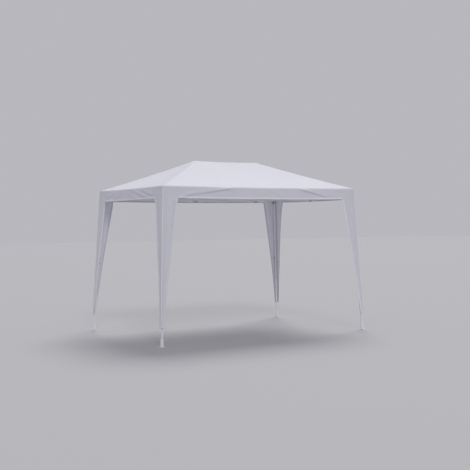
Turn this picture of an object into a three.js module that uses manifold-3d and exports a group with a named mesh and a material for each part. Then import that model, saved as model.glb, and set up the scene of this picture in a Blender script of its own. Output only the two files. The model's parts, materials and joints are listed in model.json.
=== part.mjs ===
// Pop-up gazebo, 3 m x 2 m, with a folding scissor frame and a hipped fabric canopy.
// Millimetres, +Z up. The origin is on the ground at the centre of the four feet.
// +X runs along the long side, and the front of the gazebo faces -Y.

import * as THREE from 'three';
import Module from 'manifold-3d';
import { ConvexGeometry } from 'three/addons/geometries/ConvexGeometry.js';
import { mergeVertices } from 'three/addons/utils/BufferGeometryUtils.js';

const wasm = await Module();
wasm.setup();

// ---- Driving dimensions -----------------------------------------------------------------

// Fold geometry. Every scissor bar has three pivots, one arm length apart.
const ARM = 470;                                     // from a bar's middle pivot to its end pivot
const OPEN_ANGLE = THREE.MathUtils.degToRad(6);      // slope of the bars when the gazebo is up
const LEAN = THREE.MathUtils.degToRad(3);            // outward splay of the legs in x and in y
const LEAN_IN_PLANE = Math.atan(Math.sin(LEAN));     // the same splay measured in a leaning side
const TOP_PIVOT_HEIGHT = 1965;                       // height of the top brackets' pivots

// Distances that set where the pivots stand.
const LONG_REACH = 82.7;                             // leg axis to the pivot of a long side
const SHORT_REACH = 40;                              // leg axis to the pivot of a short side
const SHORT_SHIFT = 8;                               // short sides stand this far outside the leg axis
const MID_REACH = 35.4;                              // short side to the first pivot of the middle truss
const KING_REACH = 28;                               // king post axis to its pivots
const MIDDLE_PLAY = 1.2;                             // slack at the middle truss's two loose pivots

// Scissor bars: flat steel tube in two layers, A outside and B inside.
const BAR = { height: 20, thick: 10, wall: 0.8, overhang: 10, gap: 1 };
const PIN_RADIUS = 3;
const HOLE_RADIUS = 3.9;
const LOOSE_HOLE_RADIUS = 5.2;                       // takes up MIDDLE_PLAY as the trusses fold
const PIN_SIDES = 6;
const FORK = { cheek: 4, play: 0.5, halfHeight: 9, nose: 9, webBack: 17 };

// Legs: a square outer tube, and an inner tube that telescopes out of it.
const OUTER_LEG = { width: 25, wall: 1, above: 12, below: 1030 };
const INNER_LEG = { width: 20, wall: 0.8, top: 850 };
const COLLAR = { width: 33, height: 40, bore: 20.8 };
const FOOT = { width: 60, thick: 4, pegHole: 5, pegOffset: 21, socket: 30, socketHeight: 95 };
const HEIGHT_HOLES = { radius: 4.2, first: 1100, pitch: 120, count: 3 };

// Brackets that carry the bars on the legs.
const TOP_BRACKET = { width: 34, up: 18, down: 22, pocket: 25.8, wallBite: 15 };
const SLIDER = { width: 36, bore: 26.6, up: 22, down: 48, wallBite: 15.6 };
const LOCK = { stem: 4, hole: 4.6, knob: 9, knobThick: 7, drop: 32, tipGap: 0.6, proud: 5, sides: 10 };

// King posts that hold the ridge up, and the brackets of the middle truss.
const KING = { halfWidth: 12.5, halfHeight: 12, halfDepth: 15.5, postRadius: 11, postWall: 1.2, top: 2376 };
const CAP = { radius: 15, height: 14, sides: 12 };
const MID_PLATE = { near: 12, far: 16, half: 12, pinPocket: 16.8 };

// Canopy: roof, valance and leg covers in one skin.
const CANOPY = { thick: 1.5, eave: 1990, ridge: 2392, outFromLongSide: 24, outFromShortSide: 29 };
const RIDGE_PAST_POST = 15;
const VALANCE_DROP = 150;
const COVER = { topWing: 219, footWing: 46, bottom: 230 };

// ---- Worked-out dimensions --------------------------------------------------------------

const END_MODULE = ARM * (Math.cos(OPEN_ANGLE + LEAN_IN_PLANE) + Math.cos(OPEN_ANGLE));
const MIDDLE_MODULE = 2 * ARM * Math.cos(OPEN_ANGLE);
const HALF_LONG = END_MODULE + MIDDLE_MODULE / 2 + LONG_REACH;    // leg axes, at the top pivots
const HALF_SHORT = END_MODULE + SHORT_REACH;
const SLIDER_DROP = 2 * ARM * Math.sin(OPEN_ANGLE);               // top pivot to slider pivot
const POST_X = (MIDDLE_MODULE + MIDDLE_PLAY) / 2 + KING_REACH;

// ---- Materials --------------------------------------------------------------------------

const coatedSteel = { color: 0xe9e9ec, roughness: 0.42, metalness: 0.1 };
const nylon = { color: 0xc9cbd0, roughness: 0.55, metalness: 0 };
const greyPlastic = { color: 0x6b6f76, roughness: 0.5, metalness: 0 };
const fabric = { color: 0xf2f2f7, roughness: 0.75, metalness: 0 };

// ---- Solid helpers ----------------------------------------------------------------------

/** Turns a three.js geometry into a solid that can be joined and cut. */
function toSolid(geometry) {
  geometry.deleteAttribute('normal');
  geometry.deleteAttribute('uv');
  const merged = mergeVertices(geometry, 1e-3);
  return new wasm.Manifold(new wasm.Mesh({
    numProp: 3,
    vertProperties: new Float32Array(merged.attributes.position.array),
    triVerts: new Uint32Array(merged.index.array),
  }));
}

/** Turns a solid back into a three.js geometry with flat shading normals. */
function toGeometry(shape) {
  const mesh = shape.getMesh();
  const geometry = new THREE.BufferGeometry();
  geometry.setAttribute('position', new THREE.BufferAttribute(mesh.vertProperties, 3));
  geometry.setIndex(new THREE.BufferAttribute(mesh.triVerts, 1));
  geometry.computeVertexNormals();
  return geometry;
}

/** A box between two x, two y and two z values, given in either order. */
function block([x0, x1], [y0, y1], [z0, z1], turn = null) {
  const geometry = new THREE.BoxGeometry(Math.abs(x1 - x0), Math.abs(y1 - y0), Math.abs(z1 - z0));
  geometry.translate((x0 + x1) / 2, (y0 + y1) / 2, (z0 + z1) / 2);
  if (turn) geometry.applyMatrix4(turn);
  return toSolid(geometry);
}

/** A square-section block centred on the z axis. */
function squareBar(width, z0, z1, turn = null) {
  return block([-width / 2, width / 2], [-width / 2, width / 2], [z0, z1], turn);
}

/** A round rod along z, through the point (x, y). */
function rod(radius, [z0, z1], [x, y] = [0, 0], turn = null, sides = PIN_SIDES) {
  const geometry = new THREE.CylinderGeometry(radius, radius, z1 - z0, sides);
  geometry.rotateX(Math.PI / 2);
  geometry.translate(x, y, (z0 + z1) / 2);
  if (turn) geometry.applyMatrix4(turn);
  return toSolid(geometry);
}

/** Joins all the given solids. */
function unite(...shapes) {
  return shapes.reduce((whole, shape) => whole.add(shape));
}

/** Cuts every tool from a solid. */
function cut(body, ...tools) {
  return tools.reduce((left, tool) => left.subtract(tool), body);
}

/** A named mesh of a solid, in one of the materials above. */
function piece(name, shape, finish) {
  const mesh = new THREE.Mesh(toGeometry(shape), new THREE.MeshStandardMaterial(finish));
  mesh.name = name;
  return mesh;
}

// ---- Frames of reference ----------------------------------------------------------------

// A corner frame has its origin on the leg axis at the top pivots. Its x axis runs along the
// side that starts at this corner, and its y axis runs inward. A side's own frame has x along
// the side, y up the lean of the side, and z outward.
const legTurn = new THREE.Matrix4().makeRotationFromEuler(new THREE.Euler(-LEAN, LEAN_IN_PLANE, 0));
const startTurn = new THREE.Matrix4().makeRotationX(Math.PI / 2 - LEAN);
const endTurn = new THREE.Matrix4().makeBasis(
  new THREE.Vector3(0, -1, 0),
  new THREE.Vector3(Math.sin(LEAN), 0, Math.cos(LEAN)),
  new THREE.Vector3(-Math.cos(LEAN), 0, Math.sin(LEAN)),
);
const legDown = new THREE.Vector3(0, 0, -1).applyMatrix4(legTurn);

/** The turn of a frame, moved so that its origin is at the given point. */
function placed(turn, x, y, z) {
  return turn.clone().setPosition(x, y, z);
}

/** Which of a corner's two sides are long: the even corners start one and end a short one. */
function cornerSides(index) {
  const long = { reach: LONG_REACH, shift: 0 };
  const short = { reach: SHORT_REACH, shift: SHORT_SHIFT };
  return index % 2 === 0 ? { start: long, end: short } : { start: short, end: long };
}

// ---- Forks and scissor bars -------------------------------------------------------------

/** The z values where a layer's bar lies between its two fork cheeks. */
function cheekLayers(layer) {
  const near = BAR.gap - FORK.play;
  const far = BAR.gap + BAR.thick + FORK.play;
  const outward = [[near - FORK.cheek, near], [far, far + FORK.cheek]];
  return layer === 'A' ? outward : outward.map(([z0, z1]) => [-z1, -z0]).reverse();
}

/**
 * A fork with its pivot at the frame's origin. The bar leaves it toward +x or -x, and the fork's
 * root lies `root` behind the pivot. A layer B fork holds its own pin, and a layer A fork has
 * holes for the bar's pin.
 */
function fork(layer, toward, root, turn, holeRadius = HOLE_RADIUS) {
  const layers = cheekLayers(layer);
  const height = [-FORK.halfHeight, FORK.halfHeight];
  const cheeks = layers.map((range) => block([-toward * root, toward * FORK.nose], height, range, turn));
  const span = [layers[0][0], layers[1][1]];
  const web = block([-toward * root, -toward * FORK.webBack], height, span, turn);
  const body = unite(...cheeks, web);
  if (layer === 'B') return body.add(rod(PIN_RADIUS, [span[0] - 0.8, span[1] + 0.8], [0, 0], turn));
  return body.subtract(rod(holeRadius, [span[0] - 1, span[1] + 1], [0, 0], turn));
}

/** One arm of a bar, from just past the middle pivot to beyond an end pivot. */
function arm(side, angle, halfHeight, [z0, z1], overhang) {
  const turn = new THREE.Matrix4().makeRotationZ(angle);
  const inner = -side * BAR.height / 4;
  return block([inner, side * (ARM + overhang)], [-halfHeight, halfHeight], [z0, z1], turn);
}

/**
 * A scissor bar with its middle pivot at the origin. Its arms rise by the given angles, which
 * is how an end bar takes up the splay of the legs. Layer A bars carry pins, one z range for
 * each pivot, and layer B bars have the holes, the last one as large as `lastHole`.
 */
function scissorBar(layer, leftRise, rightRise, pins, lastHole = HOLE_RADIUS) {
  const z = layer === 'A' ? [BAR.gap, BAR.gap + BAR.thick] : [-BAR.gap - BAR.thick, -BAR.gap];
  const bore = [z[0] + BAR.wall, z[1] - BAR.wall];
  const half = BAR.height / 2;
  const tube = unite(arm(-1, -leftRise, half, z, BAR.overhang), arm(1, rightRise, half, z, BAR.overhang));
  const hollow = unite(
    arm(-1, -leftRise, half - BAR.wall, bore, BAR.overhang + 1),
    arm(1, rightRise, half - BAR.wall, bore, BAR.overhang + 1),
  );
  const pivots = [
    [-ARM * Math.cos(leftRise), ARM * Math.sin(leftRise)],
    [0, 0],
    [ARM * Math.cos(rightRise), ARM * Math.sin(rightRise)],
  ];
  const body = cut(tube, hollow);
  if (layer === 'A') return unite(body, ...pivots.map((at, i) => rod(PIN_RADIUS, pins[i], at)));
  const holes = [HOLE_RADIUS, HOLE_RADIUS, lastHole];
  return cut(body, ...pivots.map((at, i) => rod(holes[i], [z[0] - 1, z[1] + 1], at)));
}

// How far a bar's pins reach: through the layer B bar, through a fork, or on into a mid bracket.
const PIN_TO_BAR = [-12.5, 11.6];
const PIN_TO_FORK = [-4.3, 16.3];
const PIN_TO_MID = [-15.6, 11.6];

/** The x and y of a scissor module's pivots, given its upper left pivot. */
function modulePivots(upperLeft, leftRise) {
  const slope = OPEN_ANGLE + leftRise;
  const middle = [upperLeft[0] + ARM * Math.cos(slope), upperLeft[1] - ARM * Math.sin(slope)];
  const upperRight = [middle[0] + ARM * Math.cos(OPEN_ANGLE), middle[1] + ARM * Math.sin(OPEN_ANGLE)];
  return { middle, upperRight };
}

/** The two crossed bars of one module, in the frame of their truss. */
function scissorModule(name, upperLeft, leftRise, rightRise, pins, lastHole) {
  const { middle } = modulePivots(upperLeft, leftRise);
  const outer = piece(`${name}_outer`, scissorBar('A', leftRise, rightRise, pins), coatedSteel);
  outer.position.set(middle[0], middle[1], 0);
  outer.rotation.z = -OPEN_ANGLE;
  const inner = piece(`${name}_inner`, scissorBar('B', leftRise, rightRise, null, lastHole), coatedSteel);
  inner.position.set(middle[0], middle[1], 0);
  inner.rotation.z = OPEN_ANGLE;
  return [outer, inner];
}

/** A side's scissors: three modules on a long side, and two on a short one. */
function sideTruss(name, isLong) {
  const truss = new THREE.Group();
  const reach = isLong ? LONG_REACH : SHORT_REACH;
  const count = isLong ? 3 : 2;
  const nodePin = isLong ? PIN_TO_BAR : PIN_TO_MID;
  let upperLeft = [reach, 0];
  for (let i = 0; i < count; i += 1) {
    const first = i === 0;
    const last = i === count - 1;
    const leftRise = first ? LEAN_IN_PLANE : 0;
    const pins = [first ? PIN_TO_FORK : nodePin, PIN_TO_BAR, last ? PIN_TO_FORK : nodePin];
    truss.add(...scissorModule(`${name}_bar_${i + 1}`, upperLeft, leftRise, last ? LEAN_IN_PLANE : 0, pins));
    upperLeft = modulePivots(upperLeft, leftRise).upperRight;
  }
  return truss;
}

// ---- Legs and their brackets ------------------------------------------------------------

/** Points a rod from the leg axis to the inner face where a lock knob is reached. */
function knobTurn(index) {
  return index % 2 === 0
    ? new THREE.Matrix4().makeRotationY(Math.PI / 2)
    : new THREE.Matrix4().makeRotationX(-Math.PI / 2);
}

/** A knob turn moved down the leg. */
function knobFrame(index, drop) {
  return placed(knobTurn(index), 0, 0, -drop);
}

/** A pull knob on a stem. Its tip stops just short of the tube that it locks. */
function pullKnob(index, drop, tubeHalf, outerHalf) {
  const frame = knobFrame(index, drop);
  const face = outerHalf + LOCK.proud;
  return unite(
    rod(LOCK.stem, [tubeHalf + LOCK.tipGap, face + 1], [0, 0], frame),
    rod(LOCK.knob, [face, face + LOCK.knobThick], [0, 0], frame, LOCK.sides),
  );
}

/** The outer leg tube, with the collar that guides and locks the inner leg. */
function outerLeg(index) {
  const bottom = -OUTER_LEG.below;
  const collarTop = bottom + COLLAR.height;
  const tube = unite(squareBar(OUTER_LEG.width, collarTop - 1, OUTER_LEG.above),
    squareBar(COLLAR.width, bottom, collarTop));
  const bore = squareBar(OUTER_LEG.width - 2 * OUTER_LEG.wall, collarTop - 5, OUTER_LEG.above + 1);
  const collarBore = squareBar(COLLAR.bore, bottom - 1, collarTop);
  const knobHole = rod(LOCK.hole, [0, COLLAR.width], [0, 0], knobFrame(index, OUTER_LEG.below - 18));
  const lockHole = rod(LOCK.hole, [0, COLLAR.width], [0, 0], knobFrame(index, SLIDER_DROP + LOCK.drop));
  return cut(tube, bore, collarBore, knobHole, lockHole);
}

/** The inner leg tube with its row of height holes, its foot socket and its flat foot. */
function innerLeg(index) {
  const footFrame = legTurn.clone().invert();
  const length = TOP_PIVOT_HEIGHT / -legDown.z;
  footFrame.setPosition(0, 0, -length);
  const half = FOOT.width / 2;
  const foot = block([-half, half], [-half, half], [0, FOOT.thick], footFrame);
  const pegs = [-1, 1].map((side) => rod(FOOT.pegHole, [-1, FOOT.thick + 1],
    [side * FOOT.pegOffset, side * FOOT.pegOffset], footFrame));
  const top = -INNER_LEG.top;
  const tube = squareBar(INNER_LEG.width, -length + FOOT.thick / 2, top);
  const socket = squareBar(FOOT.socket, -length + FOOT.thick / 2, -length + FOOT.socketHeight);
  const bore = squareBar(INNER_LEG.width - 2 * INNER_LEG.wall, -length + FOOT.thick + 1, top + 1);
  const holes = [];
  for (let i = 0; i < HEIGHT_HOLES.count; i += 1) {
    const drop = HEIGHT_HOLES.first + i * HEIGHT_HOLES.pitch;
    holes.push(rod(HEIGHT_HOLES.radius, [0, COLLAR.width], [0, 0], knobFrame(index, drop)));
  }
  return cut(unite(tube, socket, foot), bore, ...pegs, ...holes);
}

/** The two forks of a corner bracket or slider, in the corner frame. */
function cornerForks(index, startLayer, endLayer, wallBite) {
  const { start, end } = cornerSides(index);
  return [
    fork(startLayer, 1, start.reach - wallBite, placed(startTurn, start.reach, -start.shift, 0)),
    fork(endLayer, -1, end.reach - wallBite, placed(endTurn, -end.shift, end.reach, 0)),
  ];
}

/** The cap bracket on top of a leg. */
function topBracket(index) {
  const { width, up, down, pocket } = TOP_BRACKET;
  const forks = cornerForks(index, 'A', 'B', TOP_BRACKET.wallBite);
  const body = unite(squareBar(width, -down, up, legTurn), ...forks);
  return cut(body, squareBar(pocket, -down - 1, OUTER_LEG.above + 0.4, legTurn));
}

/** The bracket that slides on a leg as the gazebo folds. */
function slider(index) {
  const { width, bore, up, down, wallBite } = SLIDER;
  const body = unite(squareBar(width, -down, up, legTurn), ...cornerForks(index, 'B', 'A', wallBite));
  const hole = rod(LOCK.hole, [0, width], [0, 0], legTurn.clone().multiply(knobFrame(index, LOCK.drop)));
  return cut(body, squareBar(bore, -down - 1, up + 1, legTurn), hole);
}

/** Everything that belongs to one corner, in the corner frame. */
function cornerPieces(name, index) {
  const corner = new THREE.Group();
  const leg = new THREE.Group();
  leg.rotation.set(-LEAN, LEAN_IN_PLANE, 0);
  const sliderLock = pullKnob(index, SLIDER_DROP + LOCK.drop, OUTER_LEG.width / 2, SLIDER.width / 2);
  const heightLock = pullKnob(index, OUTER_LEG.below - 18, INNER_LEG.width / 2, COLLAR.width / 2);
  leg.add(
    piece(`${name}_leg_outer`, outerLeg(index), coatedSteel),
    piece(`${name}_leg_inner`, innerLeg(index), coatedSteel),
    piece(`${name}_slider_lock`, sliderLock, greyPlastic),
    piece(`${name}_height_lock`, heightLock, greyPlastic),
  );
  const runner = piece(`${name}_slider`, slider(index), nylon);
  runner.position.copy(legDown).multiplyScalar(SLIDER_DROP);
  corner.add(leg, piece(`${name}_top_bracket`, topBracket(index), nylon), runner);
  return corner;
}

// ---- Middle truss with its king posts ---------------------------------------------------

/** The middle truss's own frame seen from a short side: left (+1) or right (-1). */
function middleFrame(side) {
  return new THREE.Matrix4().makeBasis(
    new THREE.Vector3(0, side * Math.sin(LEAN), -side * Math.cos(LEAN)),
    new THREE.Vector3(0, Math.cos(LEAN), Math.sin(LEAN)),
    new THREE.Vector3(side, 0, 0),
  );
}

/** A bracket on a short side's middle pivots, with its fork facing inward. */
function midBracket(side, layer) {
  const { near, far, half, pinPocket } = MID_PLATE;
  const frame = middleFrame(side);
  const plate = block([-half, half], [-half, half], [-far, -near]);
  const pivot = new THREE.Vector3(side * MID_REACH, 0, 0).applyMatrix4(frame);
  const arms = fork(layer, side, MID_REACH - near - 1.5, frame.clone().setPosition(pivot));
  return cut(unite(plate, arms), rod(HOLE_RADIUS, [-pinPocket, -near + 1]));
}

/** A hub with a fork to each side. */
function kingHub(leftLayer, rightLayer, leftHole) {
  const { halfWidth, halfHeight, halfDepth } = KING;
  const identity = new THREE.Matrix4();
  return unite(
    block([-halfWidth, halfWidth], [-halfHeight, halfHeight], [-halfDepth, halfDepth]),
    fork(leftLayer, -1, FORK.webBack + 1, placed(identity, -KING_REACH, 0, 0), leftHole),
    fork(rightLayer, 1, FORK.webBack + 1, placed(identity, KING_REACH, 0, 0)),
  );
}

/** A round tube's outer or inner form along y. */
function upright(radius, y0, y1) {
  const geometry = new THREE.CylinderGeometry(radius, radius, y1 - y0, CAP.sides);
  geometry.translate(0, (y0 + y1) / 2, 0);
  return toSolid(geometry);
}

/** The upper hub with the hollow king post and the rounded cap that carries the ridge. */
function kingPost(pivotHeight) {
  const rise = KING.top - pivotHeight;
  const capFoot = rise - CAP.height;
  const post = upright(KING.postRadius, 1, capFoot + 1);
  const bore = upright(KING.postRadius - KING.postWall, -KING.halfHeight - 1, capFoot - 2);
  const dome = Array.from({ length: 5 }, (_, i) => {
    const turn = (Math.PI / 2) * (i / 4);
    return new THREE.Vector2(CAP.radius * Math.cos(turn), CAP.height * Math.sin(turn));
  });
  dome[4].x = 0;
  const cap = new THREE.LatheGeometry([new THREE.Vector2(0, 0), ...dome], CAP.sides);
  cap.translate(0, capFoot, 0);
  return unite(kingHub('B', 'A'), post, toSolid(cap)).subtract(bore);
}

/**
 * The truss under the ridge: three modules and the two king posts. The middle module hangs from
 * the left post, and its right end is loose in the right post, because the leaning sides and
 * this upright truss don't shorten quite alike.
 */
function middleTruss(midHeight, midX) {
  const truss = new THREE.Group();
  truss.rotation.x = Math.PI / 2;
  const pins = [PIN_TO_FORK, PIN_TO_BAR, PIN_TO_FORK];
  const rises = [[LEAN, 0], [0, 0], [0, LEAN]];
  let upperLeft = [-midX, midHeight];
  let kingHeight = midHeight;
  rises.forEach(([leftRise, rightRise], i) => {
    const lastHole = i === 1 ? LOOSE_HOLE_RADIUS : HOLE_RADIUS;
    truss.add(...scissorModule(`middle_bar_${i + 1}`, upperLeft, leftRise, rightRise, pins, lastHole));
    const { upperRight } = modulePivots(upperLeft, leftRise);
    if (i === 0) kingHeight = upperRight[1];
    upperLeft = [upperRight[0] + 2 * KING_REACH + (i === 1 ? MIDDLE_PLAY : 0), upperRight[1]];
  });
  [['left', -POST_X, HOLE_RADIUS], ['right', POST_X, LOOSE_HOLE_RADIUS]].forEach(([side, x, leftHole]) => {
    const post = piece(`${side}_king_post`, kingPost(kingHeight), coatedSteel);
    post.position.set(x, kingHeight, 0);
    const lower = piece(`${side}_king_lower_bracket`, kingHub('A', 'B', leftHole), nylon);
    lower.position.set(x, kingHeight - SLIDER_DROP, 0);
    truss.add(post, lower);
  });
  return truss;
}

// ---- Canopy -----------------------------------------------------------------------------

/** A hipped shell's outer form, drawn in by an offset, from below its hem to the ridge. */
function canopyForm(inset, bottom) {
  const x = HALF_LONG + CANOPY.outFromShortSide - inset;
  const y = HALF_SHORT + CANOPY.outFromLongSide - inset;
  const flare = (CANOPY.eave - bottom) * Math.tan(LEAN);
  const corners = [[-1, -1], [1, -1], [1, 1], [-1, 1]];
  const points = [];
  corners.forEach(([sx, sy]) => {
    points.push(new THREE.Vector3(sx * x, sy * y, CANOPY.eave - inset * 0.2));
    points.push(new THREE.Vector3(sx * (x + flare), sy * (y + flare), bottom));
  });
  const ridgeX = POST_X + RIDGE_PAST_POST - inset * 0.2;
  [-1, 1].forEach((side) => points.push(new THREE.Vector3(side * ridgeX, 0, CANOPY.ridge - inset * 1.08)));
  return toSolid(new ConvexGeometry(points));
}

/** The open space below the valance between two leg covers, as a prism through both sides. */
function doorway(half, turn) {
  const top = CANOPY.eave - VALANCE_DROP;
  const topX = half + VALANCE_DROP * Math.tan(LEAN) - COVER.topWing;
  const footX = half + (CANOPY.eave - COVER.bottom) * Math.tan(LEAN) - COVER.footWing;
  const slope = (footX - topX) / (top - COVER.bottom);
  const below = COVER.bottom - 10;
  const lowX = footX + 10 * slope;
  const outline = new THREE.Shape([
    new THREE.Vector2(-topX, top), new THREE.Vector2(-lowX, below),
    new THREE.Vector2(lowX, below), new THREE.Vector2(topX, top),
  ]);
  const depth = 2 * (HALF_LONG + HALF_SHORT);
  const prism = new THREE.ExtrudeGeometry(outline, { depth, bevelEnabled: false });
  prism.translate(0, 0, -depth / 2);
  prism.rotateX(Math.PI / 2);
  prism.rotateZ(turn);
  return toSolid(prism);
}

/** The whole canopy skin. */
function canopy() {
  const skin = canopyForm(0, COVER.bottom).subtract(canopyForm(CANOPY.thick, COVER.bottom - 5));
  return cut(
    skin,
    doorway(HALF_LONG + CANOPY.outFromShortSide, 0),
    doorway(HALF_SHORT + CANOPY.outFromLongSide, Math.PI / 2),
  );
}

// ---- Assembly ---------------------------------------------------------------------------

const gazebo = new THREE.Group();
const cornerNames = ['front_left', 'front_right', 'back_right', 'back_left'];
const sideNames = ['front', 'right', 'back', 'left'];
const midDrop = ARM * (Math.sin(OPEN_ANGLE + LEAN_IN_PLANE) - Math.sin(OPEN_ANGLE));

sideNames.forEach((sideName, index) => {
  const isLong = index % 2 === 0;
  const half = isLong ? HALF_LONG : HALF_SHORT;
  const distance = isLong ? HALF_SHORT : HALF_LONG;
  const side = new THREE.Group();
  side.rotation.z = (index * Math.PI) / 2;
  const corner = cornerPieces(cornerNames[index], index);
  corner.position.set(-half, -distance, TOP_PIVOT_HEIGHT);
  const truss = sideTruss(sideName, isLong);
  truss.position.set(-half, -distance - (isLong ? 0 : SHORT_SHIFT), TOP_PIVOT_HEIGHT);
  truss.rotation.x = Math.PI / 2 - LEAN;
  if (!isLong) {
    const facing = sideName === 'left' ? 1 : -1;
    const upper = piece(`${sideName}_mid_upper_bracket`, midBracket(facing, facing > 0 ? 'A' : 'B'), nylon);
    upper.position.set(HALF_SHORT, -midDrop, 0);
    const lower = piece(`${sideName}_mid_lower_bracket`, midBracket(facing, facing > 0 ? 'B' : 'A'), nylon);
    lower.position.set(HALF_SHORT, -midDrop - SLIDER_DROP, 0);
    truss.add(upper, lower);
  }
  side.add(corner, truss);
  gazebo.add(side);
});

const midHeight = TOP_PIVOT_HEIGHT - midDrop * Math.cos(LEAN);
const midX = HALF_LONG + SHORT_SHIFT + midDrop * Math.sin(LEAN) - MID_REACH;
gazebo.add(middleTruss(midHeight, midX));
gazebo.add(piece('canopy', canopy(), fabric));

export default gazebo;
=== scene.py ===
"""Looks of a white pop-up gazebo, built around its packed folding frame.

The frame's legs, brackets and scissor bars are the CAD parts with worked materials. This script
adds the sewn canopy with its hems and seams, and the frame's bolts, end plugs and foot sockets.
Everything is in metres, +Z up, with the gazebo's front facing -Y.
"""

from __future__ import annotations

import json
import logging
import math
from dataclasses import dataclass, field
from enum import Enum
from typing import Callable

import bmesh
import bpy
import numpy as np
from mathutils import Matrix, Vector

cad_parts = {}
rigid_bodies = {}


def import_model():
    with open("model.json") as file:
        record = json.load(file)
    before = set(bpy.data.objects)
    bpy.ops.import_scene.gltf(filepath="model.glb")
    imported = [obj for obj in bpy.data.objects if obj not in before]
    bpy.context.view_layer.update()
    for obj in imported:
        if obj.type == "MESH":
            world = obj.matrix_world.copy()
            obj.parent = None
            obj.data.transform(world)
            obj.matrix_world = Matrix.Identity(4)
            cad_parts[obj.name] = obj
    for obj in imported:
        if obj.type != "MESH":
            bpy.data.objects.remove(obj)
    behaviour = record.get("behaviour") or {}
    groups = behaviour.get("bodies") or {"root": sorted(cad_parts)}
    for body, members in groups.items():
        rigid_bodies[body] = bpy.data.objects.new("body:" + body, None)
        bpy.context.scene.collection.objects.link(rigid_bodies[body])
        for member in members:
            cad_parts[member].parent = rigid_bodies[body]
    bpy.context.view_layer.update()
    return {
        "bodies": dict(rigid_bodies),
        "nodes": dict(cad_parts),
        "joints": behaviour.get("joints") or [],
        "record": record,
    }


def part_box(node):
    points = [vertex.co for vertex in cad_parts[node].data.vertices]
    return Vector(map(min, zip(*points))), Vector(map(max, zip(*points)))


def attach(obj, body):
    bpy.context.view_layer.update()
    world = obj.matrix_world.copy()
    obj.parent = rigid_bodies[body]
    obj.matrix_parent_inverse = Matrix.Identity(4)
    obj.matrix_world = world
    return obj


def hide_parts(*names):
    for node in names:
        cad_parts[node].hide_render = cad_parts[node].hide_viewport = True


log = logging.getLogger("gazebo")

Points = np.ndarray
MM = 0.001


class Corner(Enum):
    """The four legs, each with its side in x and in y."""

    FRONT_LEFT = ("front_left", -1, -1)
    FRONT_RIGHT = ("front_right", 1, -1)
    BACK_RIGHT = ("back_right", 1, 1)
    BACK_LEFT = ("back_left", -1, 1)

    @property
    def label(self) -> str:
        """The corner's name in the frame's bodies and nodes."""
        return self.value[0]

    @property
    def signs(self) -> tuple[int, int]:
        """On which side of the middle the corner stands, in x and in y."""
        return self.value[1], self.value[2]


class Side(Enum):
    """The four sides, in turn from the front, as quarter turns about the vertical."""

    FRONT = 0
    RIGHT = 1
    BACK = 2
    LEFT = 3

    @property
    def is_long(self) -> bool:
        """True for the front and the back."""
        return self.value % 2 == 0

    def to_world(self, along: Points, outward: Points, height: Points) -> Points:
        """Places points given along the side, outward from the middle, and by height.

        Args:
            along: Distance along the side, growing anticlockwise as seen from above.
            outward: Distance from the gazebo's middle.
            height: Height above the ground.

        Returns:
            The points as an array of x, y, z rows.
        """
        turn = self.value * math.pi / 2
        cos, sin = round(math.cos(turn)), round(math.sin(turn))
        x, y = along, -outward
        return np.stack([x * cos - y * sin, x * sin + y * cos, height], axis=-1)


def smooth(value: Points) -> Points:
    """A soft step from 0 at 0 to 1 at 1."""
    held = np.clip(value, 0.0, 1.0)
    return held * held * (3 - 2 * held)


# ---- Shader node groups -------------------------------------------------------------------


class NodeSheet:
    """A node tree with short calls to add and join its nodes."""

    def __init__(self, tree: bpy.types.NodeTree) -> None:
        """Keeps the tree to work on."""
        self.tree = tree

    def add(self, kind: str, **settings: object) -> bpy.types.Node:
        """Adds a node.

        Args:
            kind: The node's type name without its ShaderNode prefix.
            settings: Attributes to set on the node.

        Returns:
            The new node.
        """
        name = kind if kind.startswith("Node") else f"ShaderNode{kind}"
        node = self.tree.nodes.new(name)
        for key, value in settings.items():
            setattr(node, key, value)
        return node

    def join(self, source: bpy.types.NodeSocket, target: bpy.types.NodeSocket) -> None:
        """Links an output to an input."""
        self.tree.links.new(source, target)

    def maths(self, operation: str, *values: object) -> bpy.types.NodeSocket:
        """Adds a Math node fed by sockets or numbers, and returns its output."""
        node = self.add("Math", operation=operation)
        for i, value in enumerate(values):
            self.feed(value, node.inputs[i])
        return node.outputs[0]

    def feed(self, value: object, target: bpy.types.NodeSocket) -> None:
        """Links a socket to an input, or sets the input to a plain value."""
        if isinstance(value, bpy.types.NodeSocket):
            self.join(value, target)
        else:
            target.default_value = value

    def noise(self, vector: bpy.types.NodeSocket, scale: object, detail: float) -> bpy.types.NodeSocket:
        """Adds fractal noise over a vector, and returns its value from 0 to 1."""
        node = self.add("TexNoise")
        self.join(vector, node.inputs["Vector"])
        self.feed(scale, node.inputs["Scale"])
        node.inputs["Detail"].default_value = detail
        return node.outputs["Fac"]

    def ramp(self, value: bpy.types.NodeSocket, low: float, high: float) -> bpy.types.NodeSocket:
        """Maps a value from low..high onto 0..1, clamped."""
        node = self.add("MapRange")
        self.join(value, node.inputs["Value"])
        node.inputs["From Min"].default_value = low
        node.inputs["From Max"].default_value = high
        return node.outputs["Result"]


def start_group(
    name: str, inputs: dict[str, tuple[str, object]], outputs: dict[str, str]
) -> tuple[NodeSheet, bpy.types.Node, bpy.types.Node]:
    """Starts a shader node group.

    Args:
        name: The group's name.
        inputs: Socket kinds and default values by name.
        outputs: Socket kinds by name.

    Returns:
        The empty group's sheet, with its input and output nodes.
    """
    tree = bpy.data.node_groups.new(name, "ShaderNodeTree")
    for label, (kind, value) in inputs.items():
        socket = tree.interface.new_socket(name=label, in_out="INPUT", socket_type=f"NodeSocket{kind}")
        if value is not None:
            socket.default_value = value
    for label, kind in outputs.items():
        tree.interface.new_socket(name=label, in_out="OUTPUT", socket_type=f"NodeSocket{kind}")
    sheet = NodeSheet(tree)
    return sheet, sheet.add("NodeGroupInput"), sheet.add("NodeGroupOutput")


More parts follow.
